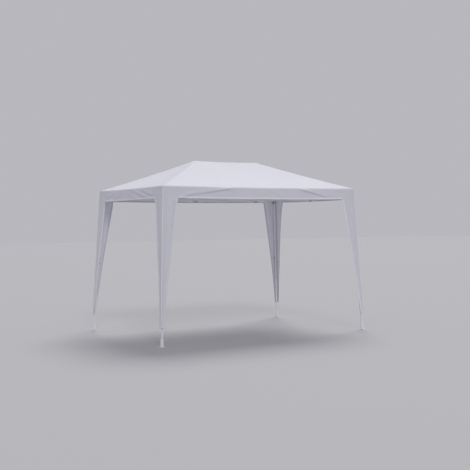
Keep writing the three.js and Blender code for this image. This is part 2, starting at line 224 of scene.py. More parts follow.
class Effects:
    """The effects that several materials share, each built once."""

    def __init__(self) -> None:
        """Builds every group."""
        self.weave = self._weave()
        self.dust = self._dust()
        self.peel = self._peel()

    def _weave(self) -> bpy.types.NodeTree:
        """Plain weave: threads that cross over and under each other, with slubs, and a painted shade that is
        darker between the threads and lighter on their raised tops.
        """
        s, inlet, outlet = start_group(
            "plain_weave",
            {"Vector": ("Vector", None), "Threads per metre": ("Float", 900.0), "Slub": ("Float", 0.3)},
            {"Height": "Float", "Thread Shade": "Float"},
        )
        split = s.add("SeparateXYZ")
        s.join(inlet.outputs["Vector"], split.inputs[0])
        warp_at = s.maths("MULTIPLY", split.outputs["X"], inlet.outputs["Threads per metre"])
        weft_at = s.maths("MULTIPLY", split.outputs["Y"], inlet.outputs["Threads per metre"])
        warp = s.maths("ABSOLUTE", s.maths("SINE", s.maths("MULTIPLY", warp_at, math.pi)))
        weft = s.maths("ABSOLUTE", s.maths("SINE", s.maths("MULTIPLY", weft_at, math.pi)))
        parity = s.maths("ADD", s.maths("FLOOR", warp_at), s.maths("FLOOR", weft_at))
        over = s.maths("PINGPONG", parity, 1.0)
        mix = s.add("Mix", data_type="FLOAT")
        s.join(over, mix.inputs["Factor"])
        s.join(warp, mix.inputs[2])
        s.join(weft, mix.inputs[3])
        slub = s.noise(inlet.outputs["Vector"], 160.0, 3.0)
        uneven = s.maths("MULTIPLY", s.maths("SUBTRACT", slub, 0.5), inlet.outputs["Slub"])
        height = s.maths("ADD", mix.outputs[0], uneven)
        s.join(height, outlet.inputs["Height"])
        # Painted shade: the thread tone follows the weave's height, darker in the hollows between threads.
        s.join(s.ramp(height, -0.1, 1.1), outlet.inputs["Thread Shade"])
        return s.tree

    def _dust(self) -> bpy.types.NodeTree:
        """Soft stains: broad clouds and a little splash that fades with height."""
        s, inlet, outlet = start_group(
            "outdoor_dust",
            {"Position": ("Vector", None), "Cloud Scale": ("Float", 1.4), "Splash Height": ("Float", 0.5)},
            {"Clouds": "Float", "Splash": "Float"},
        )
        cloud = s.noise(inlet.outputs["Position"], inlet.outputs["Cloud Scale"], 4.0)
        s.join(s.ramp(cloud, 0.35, 0.75), outlet.inputs["Clouds"])
        split = s.add("SeparateXYZ")
        s.join(inlet.outputs["Position"], split.inputs[0])
        low = s.maths("SUBTRACT", 1.0, s.maths("DIVIDE", split.outputs["Z"], inlet.outputs["Splash Height"]))
        fleck = s.noise(inlet.outputs["Position"], 60.0, 5.0)
        splash = s.maths("MULTIPLY", s.maths("MAXIMUM", low, 0.0), s.ramp(fleck, 0.45, 0.8))
        s.join(splash, outlet.inputs["Splash"])
        return s.tree

    def _peel(self) -> bpy.types.NodeTree:
        """The faint ripple and specks of a sprayed or moulded surface."""
        s, inlet, outlet = start_group(
            "surface_peel",
            {"Position": ("Vector", None), "Ripples": ("Float", 300.0), "Specks": ("Float", 1500.0)},
            {"Height": "Float", "Mottle": "Float"},
        )
        ripple = s.noise(inlet.outputs["Position"], inlet.outputs["Ripples"], 2.0)
        speck = s.noise(inlet.outputs["Position"], inlet.outputs["Specks"], 2.0)
        s.join(s.maths("ADD", ripple, s.maths("MULTIPLY", speck, 0.35)), outlet.inputs["Height"])
        mottle = s.noise(inlet.outputs["Position"], 24.0, 4.0)
        s.join(s.ramp(mottle, 0.3, 0.7), outlet.inputs["Mottle"])
        return s.tree


# ---- Finishes -----------------------------------------------------------------------------


@dataclass
class Surface:
    """A material under construction: its nodes, its Principled shader and its position input."""

    name: str
    roughness: float
    metallic: float = 0.0
    sheet: NodeSheet = field(init=False)
    material: bpy.types.Material = field(init=False)
    shader: bpy.types.Node = field(init=False)
    position: bpy.types.NodeSocket = field(init=False)

    def __post_init__(self) -> None:
        """Makes the material with an empty Principled set-up."""
        self.material = bpy.data.materials.new(self.name)
        self.material.use_nodes = True
        self.material.node_tree.nodes.clear()
        self.sheet = NodeSheet(self.material.node_tree)
        self.shader = self.sheet.add("BsdfPrincipled")
        self.preset(Roughness=self.roughness, Metallic=self.metallic)
        self.position = self.sheet.add("TexCoord").outputs["Object"]

    def effect(self, tree: bpy.types.NodeTree, **values: object) -> bpy.types.Node:
        """Places a shared effect with its own values; underscores stand for spaces."""
        node = self.sheet.add("Group")
        node.node_tree = tree
        for key, value in values.items():
            self.sheet.feed(value, node.inputs[key.replace("_", " ")])
        return node

    def tint(self, factor: object, low: tuple, high: tuple) -> bpy.types.NodeSocket:
        """Mixes two colours by a factor, and returns the colour."""
        mix = self.sheet.add("Mix", data_type="RGBA")
        self.sheet.feed(factor, mix.inputs[0])
        for colour, target in ((low, mix.inputs[6]), (high, mix.inputs[7])):
            self.sheet.feed(colour if isinstance(colour, bpy.types.NodeSocket) else (*colour, 1.0), target)
        return mix.outputs[2]

    def drive(self, name: str, socket: bpy.types.NodeSocket) -> None:
        """Feeds one of the shader's inputs with a value that changes over the surface."""
        self.sheet.join(socket, self.shader.inputs[name])

    def preset(self, **values: float) -> None:
        """Sets plain values on the shader; underscores stand for spaces."""
        for key, value in values.items():
            self.shader.inputs[key.replace("_", " ")].default_value = value

    def roughen(self, mottle: bpy.types.NodeSocket, share: float) -> None:
        """Makes the surface a little rougher where it is mottled."""
        rough = self.sheet.maths("ADD", self.sheet.maths("MULTIPLY", mottle, share), self.roughness)
        self.drive("Roughness", rough)

    def bump(self, height: bpy.types.NodeSocket, strength: float, distance: float) -> None:
        """Raises the surface by a height map."""
        node = self.sheet.add("Bump")
        node.inputs["Strength"].default_value = strength
        node.inputs["Distance"].default_value = distance
        self.sheet.join(height, node.inputs["Height"])
        self.drive("Normal", node.outputs["Normal"])

    def close(self, through: float = 0.0, glow: tuple = (1.0, 1.0, 1.0)) -> bpy.types.Material:
        """Joins the shader to the output, with a share of light let through the cloth."""
        output = self.sheet.add("OutputMaterial")
        surface = self.shader.outputs[0]
        if through:
            lit = self.sheet.add("BsdfTranslucent")
            lit.inputs["Color"].default_value = (*glow, 1.0)
            mix = self.sheet.add("MixShader")
            mix.inputs[0].default_value = through
            self.sheet.join(surface, mix.inputs[1])
            self.sheet.join(lit.outputs[0], mix.inputs[2])
            surface = mix.outputs[0]
        self.sheet.join(surface, output.inputs["Surface"])
        return self.material


@dataclass(frozen=True)
class CanopyCloth:
    """White coated polyester: fine plain weave with painted shade between its threads, soft sheen, slightly
    see-through to light.
    """

    name: str = "canopy_cloth"
    light: tuple = (0.87, 0.87, 0.92)
    # The soiled colour serves both as the dust tone and as the painted shade in the weave's hollows.
    soiled: tuple = (0.80, 0.80, 0.85)
    splash: tuple = (0.60, 0.56, 0.50)
    threads_per_metre: float = 900.0
    roughness: float = 0.72
    through: float = 0.26

    def material(self, effects: Effects) -> bpy.types.Material:
        """Builds the cloth."""
        s = Surface(self.name, self.roughness)
        flat = s.sheet.add("UVMap", uv_map="flat")
        weave = s.effect(effects.weave, Vector=flat.outputs[0], Threads_per_metre=self.threads_per_metre)
        dust = s.effect(effects.dust, Position=s.position)
        cloudy = s.sheet.maths("MULTIPLY", dust.outputs["Clouds"], 0.35)
        base = s.tint(cloudy, self.light, self.soiled)
        # Painted shade between threads: the thread colour runs from the soiled tone in the weave's hollows to
        # the clean tone on raised threads.
        painted_weave_shade = s.sheet.maths("MULTIPLY", weave.outputs["Thread Shade"], 0.10)
        threads = s.tint(painted_weave_shade, self.soiled, self.light)
        woven = s.tint(0.25, base, threads)
        dirt = s.sheet.maths("MULTIPLY", dust.outputs["Splash"], 0.30)
        s.drive("Base Color", s.tint(dirt, woven, self.splash))
        s.bump(weave.outputs["Height"], 0.25, 0.0004)
        s.preset(Sheen_Weight=0.25, Sheen_Roughness=0.4, Specular_IOR_Level=0.35)
        return s.close(self.through, self.light)


@dataclass(frozen=True)
class HemTape(CanopyCloth):
    """The folded and stitched edge of the canopy: doubled cloth, so a little lighter."""

    name: str = "hem_tape"
    light: tuple = (0.90, 0.90, 0.945)
    soiled: tuple = (0.83, 0.83, 0.88)
    threads_per_metre: float = 700.0
    roughness: float = 0.66
    through: float = 0.05


@dataclass(frozen=True)
class CoatedSteel:
    """White powder-coated steel tube, satin, with a light orange peel."""

    name: str = "coated_steel"
    light: tuple = (0.87, 0.87, 0.89)
    worn: tuple = (0.79, 0.79, 0.80)
    soil: tuple = (0.47, 0.43, 0.37)
    roughness: float = 0.36

    def material(self, effects: Effects) -> bpy.types.Material:
        """Builds the coat."""
        s = Surface(self.name, self.roughness)
        peel = s.effect(effects.peel, Position=s.position, Ripples=420.0, Specks=2400.0)
        dust = s.effect(effects.dust, Position=s.position, Splash_Height=0.30)
        base = s.tint(s.sheet.maths("MULTIPLY", peel.outputs["Mottle"], 0.5), self.light, self.worn)
        dirt = s.sheet.maths("MULTIPLY", dust.outputs["Splash"], 0.35)
        s.drive("Base Color", s.tint(dirt, base, self.soil))
        s.roughen(peel.outputs["Mottle"], 0.10)
        s.bump(peel.outputs["Height"], 0.18, 0.0004)
        s.preset(Coat_Weight=0.25, Coat_Roughness=0.3)
        return s.close()


@dataclass(frozen=True)
class MouldedNylon:
    """Moulded plastic with a fine spark-eroded grain."""

    name: str
    light: tuple
    dark: tuple
    roughness: float = 0.5

    def material(self, effects: Effects) -> bpy.types.Material:
        """Builds the plastic."""
        s = Surface(self.name, self.roughness)
        grain = s.effect(effects.peel, Position=s.position, Ripples=900.0, Specks=3200.0)
        s.drive("Base Color", s.tint(grain.outputs["Mottle"], self.light, self.dark))
        s.roughen(grain.outputs["Mottle"], 0.12)
        s.bump(grain.outputs["Height"], 0.25, 0.0003)
        return s.close()


@dataclass(frozen=True)
class ZincPlate:
    """Bright zinc on bolts and nuts, with a faint spangle."""

    name: str = "zinc_plate"
    bright: tuple = (0.72, 0.73, 0.75)
    dull: tuple = (0.52, 0.53, 0.56)
    roughness: float = 0.3

    def material(self, effects: Effects) -> bpy.types.Material:
        """Builds the plating."""
        s = Surface(self.name, self.roughness, metallic=1.0)
        peel = s.effect(effects.peel, Position=s.position, Ripples=1200.0, Specks=4000.0)
        s.drive("Base Color", s.tint(peel.outputs["Mottle"], self.bright, self.dull))
        s.bump(peel.outputs["Height"], 0.12, 0.0002)
        return s.close()


@dataclass
class Finishes:
    """Every material of the gazebo, made once."""

    effects: Effects = field(default_factory=Effects)

    def __post_init__(self) -> None:
        """Builds the materials."""
        self.cloth = CanopyCloth().material(self.effects)
        self.hem = HemTape().material(self.effects)
        self.steel = CoatedSteel().material(self.effects)
        nylon = MouldedNylon("bracket_nylon", (0.60, 0.61, 0.64), (0.52, 0.53, 0.56))
        knob = MouldedNylon("knob_plastic", (0.17, 0.18, 0.20), (0.12, 0.13, 0.15), 0.42)
        plug = MouldedNylon("plug_plastic", (0.45, 0.46, 0.49), (0.38, 0.39, 0.42))
        socket = MouldedNylon("socket_nylon", (0.90, 0.90, 0.92), (0.84, 0.84, 0.86))
        self.nylon, self.knob, self.plug, self.socket = (
            plastic.material(self.effects) for plastic in (nylon, knob, plug, socket)
        )
        self.zinc = ZincPlate().material(self.effects)


# ---- Mesh helpers -------------------------------------------------------------------------


def place_mesh(name: str, mesh: bpy.types.Mesh, material: bpy.types.Material) -> bpy.types.Object:
    """Puts a mesh in the scene as an object with one finish."""
    mesh.materials.append(material)
    obj = bpy.data.objects.new(name, mesh)
    bpy.context.scene.collection.objects.link(obj)
    return obj


def mesh_object(
    name: str, points: Points, faces: list[tuple], material: bpy.types.Material
) -> bpy.types.Object:
    """Makes a smooth-shaded mesh object in the scene.

    Args:
        name: The object's name.
        points: Vertex rows.
        faces: Vertex indices of each face.
        material: The finish.

    Returns:
        The new object.
    """
    mesh = bpy.data.meshes.new(name)
    mesh.from_pydata([tuple(p) for p in points], [], faces)
    mesh.polygons.foreach_set("use_smooth", [True] * len(mesh.polygons))
    mesh.update()
    return place_mesh(name, mesh, material)


def object_from(name: str, work: bmesh.types.BMesh, material: bpy.types.Material) -> bpy.types.Object:
    """Turns a bmesh into an object in the scene and frees it."""
    mesh = bpy.data.meshes.new(name)
    work.to_mesh(mesh)
    work.free()
    return place_mesh(name, mesh, material)


def add_bevel(obj: bpy.types.Object, width: float, segments: int = 2) -> None:
    """Rounds an object's sharp edges by a modifier."""
    bevel = obj.modifiers.new("soft_edges", "BEVEL")
    bevel.width = width
    bevel.segments = segments
    bevel.limit_method = "ANGLE"
    bevel.angle_limit = math.radians(40)
    bevel.harden_normals = False


@dataclass
class ClothPatch:
    """One grid of cloth: its points, and how far each is along the uncut cloth."""

    points: Points
    flat: Points

    def quads(self, offset: int) -> list[tuple[int, int, int, int]]:
        """The grid's faces, with vertex numbers counted from an offset."""
        rows, columns = self.points.shape[:2]
        corner = [(i * columns + j + offset) for i in range(rows - 1) for j in range(columns - 1)]
        return [(c, c + columns, c + columns + 1, c + 1) for c in corner]


def cloth_object(name: str, patches: list[ClothPatch], material: bpy.types.Material) -> bpy.types.Object:
    """Sews cloth patches into one mesh, with the flat cloth as its UV map.

    Args:
        name: The object's name.
        patches: Grids that meet at shared edges.
        material: The cloth.

    Returns:
        The sewn sheet.
    """
    points, flats, faces = [], [], []
    count = 0
    for patch in patches:
        faces += patch.quads(count)
        points.append(patch.points.reshape(-1, 3))
        flats.append(patch.flat.reshape(-1, 2))
        count += len(points[-1])
    obj = mesh_object(name, np.concatenate(points), faces, material)
    flat = np.concatenate(flats)
    layer = obj.data.uv_layers.new(name="flat")
    corners = np.zeros(len(obj.data.loops), dtype=np.int32)
    obj.data.loops.foreach_get("vertex_index", corners)
    layer.data.foreach_set("uv", flat[corners].astype(np.float32).ravel())
    work = bmesh.new()
    work.from_mesh(obj.data)
    bmesh.ops.remove_doubles(work, verts=work.verts, dist=0.4 * MM)
    bmesh.ops.recalc_face_normals(work, faces=work.faces)
    work.to_mesh(obj.data)
    work.free()
    obj.data.polygons.foreach_set("use_smooth", [True] * len(obj.data.polygons))
    return obj


# ---- Canopy -------------------------------------------------------------------------------


@dataclass(frozen=True)
class Crease:
    """A slack fold in a side, between two points given along it and down from the eave.

    The cloth swells out gently above the fold's line, and tucks back in steeply below it.
    """

    start: tuple[float, float]
    end: tuple[float, float]
    height: float
    width: float
    swell: float = 1.5
    tuck: float = 0.5

    def rise(self, along: Points, down: Points) -> Points:
        """How far the crease lifts the cloth at each point."""
        ax, ay = self.start
        bx, by = self.end
        length_squared = (bx - ax) ** 2 + (by - ay) ** 2
        share = ((along - ax) * (bx - ax) + (down - ay) * (by - ay)) / length_squared
        held = np.clip(share, 0.0, 1.0)
        gap = np.hypot(along - ax - held * (bx - ax), down - ay - held * (by - ay))
        line = ay + (along - ax) * (by - ay) / (bx - ax)
        reach = self.width * np.where(down > line, self.tuck, self.swell)
        return self.height * np.exp(-((gap / reach) ** 2)) * (1 - 0.6 * held)


@dataclass
class CanopyShape:
    """The sewn canopy's form: a hipped roof, a valance and an L-shaped cover on each leg."""

    eave: float = 1.990
    lean: float = math.radians(3)
    valance_drop: float = 0.150
    wing_top: float = 0.219
    wing_foot: float = 0.046
    wing_taper: float = 1.22
    inside: float = 1.0 * MM
    post_to_ridge_end: float = 0.015
    roof_belly: float = 0.020
    hip_sag: float = 0.009
    eave_sag_long: float = 0.011
    eave_sag_short: float = 0.007
    ridge_sag: float = 0.006
    cap_hold: float = 0.032
    tauter: float = 0.55
    seam_hold: float = 0.09
    ripple_depth: float = 3.6 * MM
    fold_depth: float = 5.0 * MM
    billow_depth: float = 6.0 * MM
    curl_depth: float = 9.0 * MM
    pleat_depth: float = 2.0 * MM
    pleat_reach: float = 0.22
    slope_stretch: float = 1.08
    flat_gap: float = 2.0
    column_pitch: float = 0.018
    wing_columns: int = 11
    roof_rows: int = 40
    valance_rows: int = 22
    cover_rows: int = 64

    def __post_init__(self) -> None:
        """Takes the overall sizes from the frame."""
        low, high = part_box("canopy")
        flare = (self.eave - low.z) * math.tan(self.lean)
        self.half_x = high.x - flare - self.inside
        self.half_y = high.y - flare - self.inside
        self.ridge = high.z - self.inside
        self.bottom = low.z + self.inside
        post_low, post_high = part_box("right_king_post")
        self.ridge_half = (post_low.x + post_high.x) / 2 + self.post_to_ridge_end
        self.full_drop = self.eave - self.bottom

    def half(self, side: Side) -> float:
        """Half a side's length at the eave."""
        return self.half_x if side.is_long else self.half_y

    def half_at(self, side: Side, down: Points) -> Points:
        """Half a side's length at each depth below the eave, where the legs have splayed out."""
        return self.half(side) + down * math.tan(self.lean)

    def distance(self, side: Side) -> float:
        """How far a side stands from the middle at the eave."""
        return self.half_y if side.is_long else self.half_x

    def creases(self, side: Side) -> list[Crease]:
        """The drag lines of each side, between the leg covers and the eave."""
        if side.is_long:
            return [
                Crease((-0.53, 0.012), (-1.15, 0.105), 22 * MM, 0.020),
                Crease((0.60, 0.012), (1.02, 0.110), 24 * MM, 0.018),
                Crease((-1.26, 0.145), (-0.98, 0.045), 9 * MM, 0.016),
                Crease((1.24, 0.145), (1.02, 0.045), 9 * MM, 0.016),
                Crease((0.05, 0.015), (0.30, 0.125), 5 * MM, 0.024),
            ]
        return [
            Crease((0.70, 0.100), (0.34, 0.015), 10 * MM, 0.017),
            Crease((0.52, 0.125), (0.12, 0.030), 9 * MM, 0.017),
            Crease((0.26, 0.138), (-0.10, 0.050), 7 * MM, 0.017),
            Crease((-0.70, 0.100), (-0.38, 0.015), 9 * MM, 0.017),
            Crease((-0.50, 0.132), (-0.22, 0.040), 6 * MM, 0.017),
        ]

    def wing(self, down: Points) -> Points:
        """A leg cover's width at each depth below the eave."""
        share = np.clip((down - self.valance_drop) / (self.full_drop - self.valance_drop), 0, 1)
        return self.wing_foot + (self.wing_top - self.wing_foot) * (1 - share) ** self.wing_taper

    def bulge(self, side: Side, along: Points, down: Points) -> Points:
        """How far the hanging cloth stands out from its flat side.

        Args:
            side: Which side.
            along: Distance along the side from its middle.
            down: Distance below the eave.

        Returns:
            The outward distance of each point.
        """
        from_seam = self.half_at(side, down) - np.abs(along)
        held = smooth(from_seam / self.seam_hold)
        phase = 1.7 * side.value + np.where(along > 0, 0.0, 2.4)
        hem_share = np.clip(down / self.valance_drop, 0, 1)
        free = smooth((from_seam - 0.75 * self.wing_top) / 0.30)
        wave = np.sin(along * 6.9 + phase) + 0.6 * np.sin(along * 15.3 + 2.1 * phase + down * 4)
        wave += 0.35 * np.sin(along * 31.0 - phase)
        ripple = self.ripple_depth * (wave + 1.1) * free * hem_share**1.3
        wing = self.wing(down)
        across = np.clip(from_seam / wing, 0, 1)
        on_cover = smooth((down - 0.07) / 0.14)
        fold_line = across * 8.2 + 0.9 * np.sin(down * 2.7 + phase) + phase
        depth = self.fold_depth * np.sqrt(wing / self.wing_top)
        folds = depth * (np.sin(fold_line) + 0.4) * smooth(across / 0.35)
        billow = self.billow_depth * np.sin(down * 4.3 + phase) * across**2 * np.sqrt(wing / self.wing_top)
        curl = -self.curl_depth * across**4 * smooth((down - self.valance_drop) / 0.12)
        cover = (folds + billow + curl) * on_cover * (1 - free)
        slack = 1.0 if side in (Side.FRONT, Side.LEFT) else self.tauter
        lifted = slack * sum(crease.rise(along, down) for crease in self.creases(side))
        return (ripple + cover + lifted * np.clip(hem_share * 6, 0, 1)) * held

    def wall(self, side: Side, along: Points, down: Points) -> Points:
        """Points of a hanging side: the valance or a leg cover."""
        share = np.clip(np.abs(along) / self.half_at(side, down), 0, 1)
        sag = (self.eave_sag_long if side.is_long else self.eave_sag_short) * (1 - share**2)
        outward = self.distance(side) + down * math.tan(self.lean) + self.bulge(side, along, down)
        return side.to_world(along, outward, self.eave - down - sag * np.exp(-((down / 0.6) ** 2)))

    def roof(self, side: Side, across: Points, down: Points) -> Points:
        """Points of a roof slope.

        Args:
            side: Which slope.
            across: From -1 at the left hip to 1 at the right hip.
            down: From 0 at the ridge to 1 at the eave.

        Returns:
            The points of the sagging cloth.
        """
        ridge_along = self.ridge_half if side.is_long else 0.0
        ridge_out = 0.0 if side.is_long else self.ridge_half
        half, distance = self.half(side), self.distance(side)
        along = across * (ridge_along * (1 - down) + half * down)
        outward = ridge_out * (1 - down) + distance * down
        height = self.ridge * (1 - down) + self.eave * down
        span = 1 - across**2
        arch = 4 * down * (1 - down)
        sag = self.hip_sag * arch + self.roof_belly * span * arch
        sag = sag + (self.eave_sag_long if side.is_long else self.eave_sag_short) * span * down
        if side.is_long:
            sag = sag + self.ridge_sag * span * (1 - down)
        sag = sag + self.tension(side, across, down)
        return side.to_world(along, outward, height - sag)

    def tension(self, side: Side, across: Points, down: Points) -> Points:
        """Faint pleats that run out of each corner, where the cloth is pulled tight."""
        half = self.half(side)
        from_corner = np.hypot((1 - np.abs(across)) * half, (1 - down) * self.distance(side) * 0.8)
        turn = np.arctan2((1 - down) * self.distance(side), (1 - np.abs(across)) * half * down + 1e-6)
        share = np.clip(turn / (math.pi / 2), 0, 1)
        strength = from_corner / self.pleat_reach * np.exp(1 - from_corner / self.pleat_reach)
        edges = np.sin(share * math.pi) * smooth((1 - down) / 0.08) * smooth((1 - np.abs(across)) / 0.06)
        return self.pleat_depth * np.sin(share * 21 + side.value) * strength * edges

    def columns(self, side: Side) -> Points:
        """Where the grid's columns stand along the eave, fine over the leg covers."""
        half = self.half(side)
        inner = half - self.wing_top
        count = round(2 * inner / self.column_pitch)
        wing = np.linspace(half, inner, self.wing_columns + 1)[:-1]
        return np.concatenate([-wing, np.linspace(-inner, inner, count + 1), wing[::-1]])

    def roof_patch(self, side: Side) -> ClothPatch:
        """One slope as a grid."""
        across = self.columns(side) / self.half(side)
        down = np.linspace(0, 1, self.roof_rows + 1)
        across, down = np.meshgrid(across, down)
        flat = np.stack([across * self.half(side), down * self.distance(side) * self.slope_stretch], axis=-1)
        return ClothPatch(self.roof(side, across, down), flat)

    def valance_patch(self, side: Side) -> ClothPatch:
        """One side's valance as a grid, cover tops included."""
        down = np.linspace(0, self.valance_drop, self.valance_rows + 1)[:, None]
        eave_columns = self.columns(side)[None, :]
        stretch = self.half_at(side, down) - self.half(side)
        wings = np.clip(np.abs(eave_columns) / (self.half(side) - self.wing_top), 0, 1)
        along = eave_columns + np.sign(eave_columns) * stretch * wings
        down = np.broadcast_to(down, along.shape)
        flat = np.stack([along, down + self.flat_gap], axis=-1)
        return ClothPatch(self.wall(side, along, down), flat)

    def cover_patch(self, side: Side, end: int) -> ClothPatch:
        """One wing of a leg cover as a grid, below the valance."""
        down = np.linspace(self.valance_drop, self.full_drop, self.cover_rows + 1)[:, None]
        share = np.linspace(0, 1, self.wing_columns + 1)[None, :]
        along = end * (self.half_at(side, down) - share * self.wing(down))
        down = np.broadcast_to(down, along.shape)
        flat = np.stack([along, down + self.flat_gap], axis=-1)
        return ClothPatch(self.wall(side, along, down), flat)

    def patches(self) -> list[ClothPatch]:
        """All the grids of the canopy."""
        found = []
        for side in Side:
            found += [self.roof_patch(side), self.valance_patch(side)]
            found += [self.cover_patch(side, end) for end in (-1, 1)]
        return found


class FoldFollower:
    """Lets cloth follow the legs and king posts while the frame folds.

    The legs and posts only shift as the frame folds, so a point moves by a weighted mean of
    their shifts. The weights come from where the point is on the canopy.
    """

    def __init__(self, frame: dict, shape: CanopyShape) -> None:
        """Keeps the frame's bodies and the canopy's form."""
        self.bodies = frame["bodies"]
        self.shape = shape
        moving = {joint["child"] for joint in frame["joints"]}
        self.fixed = next(name for name in self.bodies if name not in moving)

    def weights(self, points: Points) -> dict[str, Points]:
        """How much of each body's shift every point takes.

        Args:
            points: Vertex rows in the row frame.

        Returns:
            Weights by body name, which add up to 1.
        """
        s = self.shape
        x, y, z = points.T
        below = np.maximum(s.eave - z, 0)
        flare = below * math.tan(s.lean)
        wide, deep = s.half_x + flare, s.half_y + flare
        rise_long = np.clip(np.abs(y) / deep, 0, 1)
        rise_short = np.clip((np.abs(x) - s.ridge_half) / (wide - s.ridge_half), 0, 1)
        eave_share = np.maximum(rise_long, rise_short)
        eave_share = np.where(below > 2 * s.eave_sag_long, 1.0, eave_share)
        reach = s.ridge_half + (wide - s.ridge_half) * eave_share
        u = np.clip(x / reach, -1, 1)
        v = np.clip(y / np.maximum(deep * eave_share, 1e-6), -1, 1)
        found = {}
        drop = np.clip((below - s.valance_drop) / (s.full_drop - s.valance_drop), 0, 1)
        leg_share = np.clip((eave_share - s.cap_hold) / (1 - s.cap_hold), 0, 1)
        for corner in Corner:
            sx, sy = corner.signs
            share = leg_share * (1 + sx * u) / 2 * (1 + sy * v) / 2
            found[f"{corner.label}_leg"] = share * (1 - drop)
            found[f"{corner.label}_inner_leg"] = share * drop
        for name, sx in (("left_king", -1), ("right_king", 1)):
            found[name] = (1 - leg_share) * (1 + sx * u) / 2
        return found

    def attach(self, obj: bpy.types.Object) -> None:
        """Hooks every vertex of a cloth mesh to the bodies around it, and rests it on the fixed one."""
        points = np.array([v.co for v in obj.data.vertices], float).reshape(-1, 3)
        for body, weights in self.weights(points).items():
            if body == self.fixed:
                continue
            group = obj.vertex_groups.new(name=body)
            for index in np.nonzero(weights > 1e-4)[0]:
                group.add([int(index)], float(weights[index]), "REPLACE")
            hook = obj.modifiers.new(f"follow_{body}", "HOOK")
            hook.object = self.bodies[body]
            hook.vertex_group = body
            hook.falloff_type = "NONE"
        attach(obj, self.fixed)


@dataclass
class Canopy:
    """The canopy with its hems and seams."""

    shape: CanopyShape
    follower: FoldFollower
    finishes: Finishes
    thickness: float = 0.8 * MM
    hem_width: float = 0.022
    hem_proud: float = 1.1 * MM
    seam_width: float = 0.014
    trim_pitch: float = 0.02

    def build(self) -> None:
        """Makes every fabric piece."""
        sheet = self._sew("canopy_sheet", self.shape.patches(), self.finishes.cloth)
        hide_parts("canopy")
        trims = [self._hems(), self._roof_seams(), self._corner_seams()]

    def _sew(self, name: str, patches: list[ClothPatch], cloth: bpy.types.Material) -> bpy.types.Object:
        """Makes a piece of cloth, hooks it to the frame and gives it its thickness."""
        obj = cloth_object(name, patches, cloth)
        self.follower.attach(obj)
        solid = obj.modifiers.new("cloth_thickness", "SOLIDIFY")
        solid.thickness = self.thickness
        solid.offset = -1
        return obj

    def _strip(self, sample: Callable[[Points, Points], Points], along: Points, width: float) -> ClothPatch:
        """A raised tape that lies on the cloth.

        Args:
            sample: Gives the cloth's points from a place along the tape and a place across it.
            along: Places along the tape.
            width: The tape's width.

        Returns:
            The tape's grid, lifted off the cloth and turned down at its edges.
        """
        across = np.array([0.0, 0.06, 0.3, 0.5, 0.7, 0.94, 1.0]) * width
        lift = np.array([-0.1, 0.75, 1.0, 0.9, 1.0, 0.75, -0.1]) * self.hem_proud
        grid_along, grid_across = np.meshgrid(along, across, indexing="ij")
        points = sample(grid_along, grid_across)
        step_along = np.gradient(points, axis=0)
        step_across = np.gradient(points, axis=1)
        normal = np.cross(step_along, step_across)
        normal /= np.maximum(np.linalg.norm(normal, axis=-1, keepdims=True), 1e-12)
        outward = points * np.array([1.0, 1.0, 0.0]) + np.array([0.0, 0.0, 0.6])
        normal *= np.sign((normal * outward).sum(-1, keepdims=True))
        stitched = 1 - 0.25 * (np.sin(grid_along * 900) > 0.2) * ((lift < self.hem_proud) & (lift > 0))
        lifted = points + normal * (lift * stitched)[..., None]
        return ClothPatch(lifted, np.stack([grid_along, grid_across], axis=-1))

    def _hems(self) -> bpy.types.Object:
        """Folded hems: along the valance, down the inner edge of each cover and round its foot."""
        s = self.shape
        patches = []
        for side in Side:
            inner = s.half(side) + s.valance_drop * math.tan(s.lean) - s.wing_top
            run = np.linspace(-inner, inner, round(2 * inner / self.trim_pitch))
            patches.append(self._strip(
                lambda a, w, side=side: s.wall(side, a, s.valance_drop - w), run, self.hem_width))
            for end in (-1, 1):
                patches.append(self._strip(self._inner_edge(side, end),
                                           np.linspace(s.valance_drop, s.full_drop, 110), self.hem_width))
                foot = np.linspace(0, s.wing_foot, 8)
                patches.append(self._strip(self._foot_edge(side, end), foot, self.hem_width))
        return self._sew("canopy_hems", patches, self.finishes.hem)

    def _inner_edge(self, side: Side, end: int) -> Callable[[Points, Points], Points]:
        """A sampler for the hem down a leg cover's inner edge."""
        s = self.shape

        def sample(down: Points, inset: Points) -> Points:
            """Points by depth and by distance in from the edge."""
            return s.wall(side, end * (s.half_at(side, down) - s.wing(down) + inset), down)

        return sample

    def _foot_edge(self, side: Side, end: int) -> Callable[[Points, Points], Points]:
        """A sampler for the hem round a leg cover's foot."""
        s = self.shape

        def sample(from_seam: Points, up: Points) -> Points:
            """Points by distance from the corner seam and by distance up from the foot."""
            down = s.full_drop - up
            return s.wall(side, end * (s.half_at(side, down) - from_seam), down)

        return sample

    def _roof_seams(self) -> bpy.types.Object:
        """Lapped seams up the four hips, along the ridge and round the eave."""
        s = self.shape
        patches = []
        for side in Side:
            rise = np.linspace(0.0, 1.0, 70)
            for end in (-1, 1):
                def hip(down: Points, inset: Points, side: Side = side, end: int = end) -> Points:
                    """Points by place down the hip and by distance in from it."""
                    reach = s.half(side) * down + (s.ridge_half if side.is_long else 0) * (1 - down)
                    return s.roof(side, end * (1 - inset / np.maximum(reach, 0.02)), down)

                patches.append(self._strip(hip, rise[1:] if side.is_long else rise[2:], self.seam_width))
            run = np.linspace(-0.998, 0.998, round(2 * s.half(side) / self.trim_pitch))
            patches.append(self._strip(
                lambda a, w, side=side: s.roof(side, a, 1 - w / s.distance(side)), run, self.seam_width))
            if side.is_long:
                patches.append(self._strip(lambda a, w, side=side: s.roof(side, a, w / s.distance(side)),
                                           np.linspace(-1, 1, 60), self.seam_width))
        return self._sew("roof_seams", patches, self.finishes.cloth)

    def _corner_seams(self) -> bpy.types.Object:
        """Upright seams at the corners of the valance and covers, and the valance's top edge."""
        s = self.shape
        patches = []
        for side in Side:
            for end in (-1, 1):
                def seam(down: Points, inset: Points, side: Side = side, end: int = end) -> Points:
                    """Points by depth and by distance from the corner."""
                    return s.wall(side, end * (s.half_at(side, down) - inset), down)

